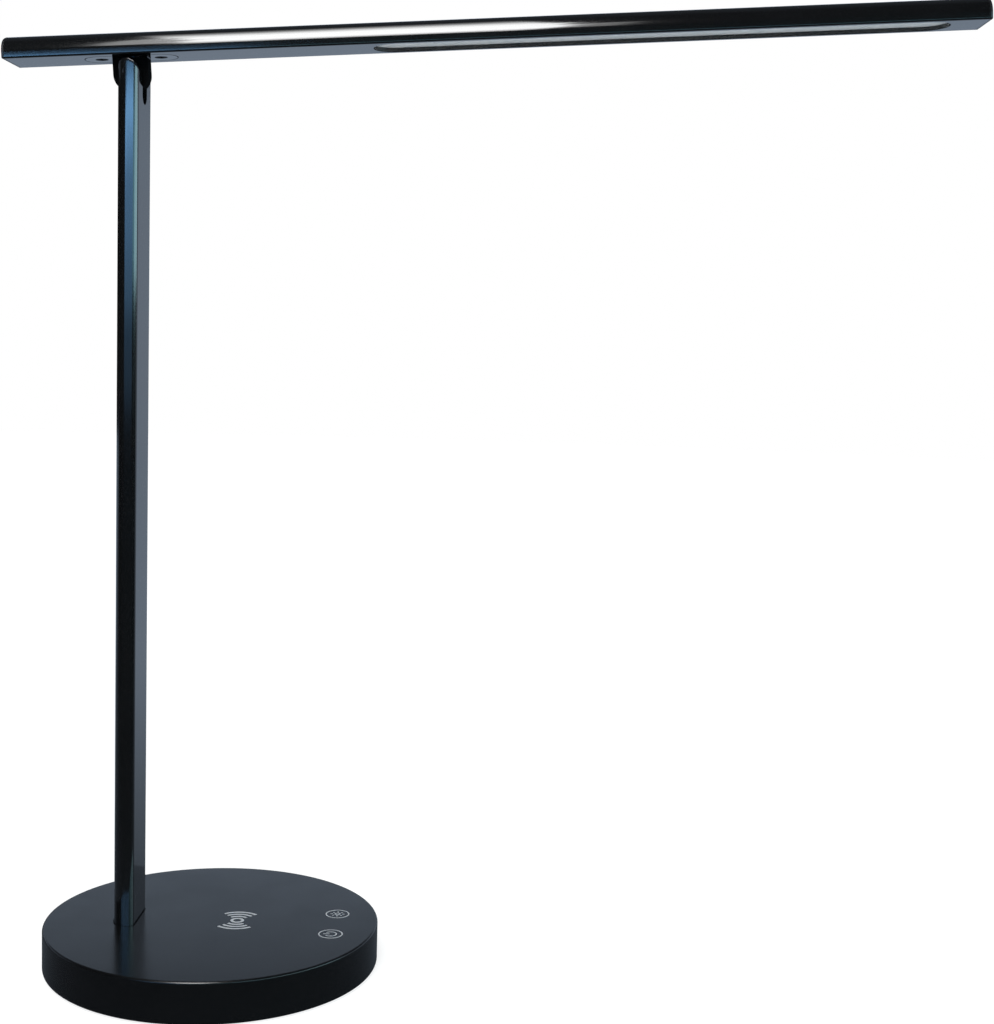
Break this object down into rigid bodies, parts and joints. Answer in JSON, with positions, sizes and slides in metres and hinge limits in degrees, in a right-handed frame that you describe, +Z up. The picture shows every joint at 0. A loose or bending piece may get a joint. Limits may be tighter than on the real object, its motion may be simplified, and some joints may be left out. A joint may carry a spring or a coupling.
{
  "type": "led desk lamp",
  "caption": "Desk lamp with a round weighted charging base, an upright post and a slim light arm that tilts on a friction hinge at the top of the post.",
  "frame": {"origin": "middle of the foot pad, on the surface that the lamp stands on", "axes": "+Z up, +X along the arm from the post towards the lit end, +Y completes a right-handed frame"},
  "size_m": [0.4192, 0.15, 0.4354],
  "materials": {
    "base_shell": "satin black moulded housing",
    "base_floor": "matt black floor plate",
    "foot_rubber": "matt black non-slip pad",
    "weight_steel": "rolled plate, lightly oiled",
    "screw_steel": "black zinc plated",
    "coil_copper": "enamelled winding wire",
    "ferrite": "matt sintered sheet",
    "board": "green solder mask",
    "board_part": "moulded component cases",
    "electrode_foam": "conductive foam",
    "spacer": "natural nylon",
    "socket_plastic": "black moulding",
    "contact_brass": "nickel plated contact",
    "lead_sleeve": "black sleeve",
    "anodised": "black satin gloss anodised extrusion",
    "knuckle_black": "black painted die casting",
    "insert_alloy": "as cast insert",
    "pin_steel": "ground pin, blackened",
    "washer": "friction washer",
    "led_panel": "white solder mask on aluminium",
    "led_lens": "phosphor filled lens",
    "opal": "opal diffuser",
    "cap_black": "satin black end cap"
  },
  "bodies": {
    "stand": {"base_cover": "base_shell", "base_plate": "base_floor", "foot_pad": "foot_rubber", "counterweight": "weight_steel", "base_screws": "screw_steel", "charging_coil": "coil_copper", "coil_ferrite": "ferrite", "coil_leads": "coil_copper", "main_board": "board", "board_parts": "board_part", "touch_board": "board", "touch_electrodes": "electrode_foam", "board_spacers": "spacer", "dc_socket": "socket_plastic", "dc_contact": "contact_brass", "jack_lead": "lead_sleeve", "touch_lead": "lead_sleeve", "lamp_lead": "lead_sleeve", "post_tube": "anodised", "foot_block": "insert_alloy", "post_screws": "screw_steel", "hinge_block": "insert_alloy", "hinge_pin": "pin_steel", "friction_washers": "washer"},
    "arm": {"arm_tube": "anodised", "hinge_knuckle": "knuckle_black", "knuckle_screws": "screw_steel", "arm_insert": "insert_alloy", "led_board": "led_panel", "led_chips": "led_lens", "diffuser": "opal", "front_cap": "cap_black", "tail_cap": "cap_black", "arm_lead": "lead_sleeve"}
  },
  "joints": [
    {"name": "arm_tilt", "type": "hinge", "parent": "stand", "child": "arm", "pos_m": [-0.0388, 0, 0.3948], "axis": [0, -1, 0], "range_deg": [-93.6, 86.4]}
  ]
}
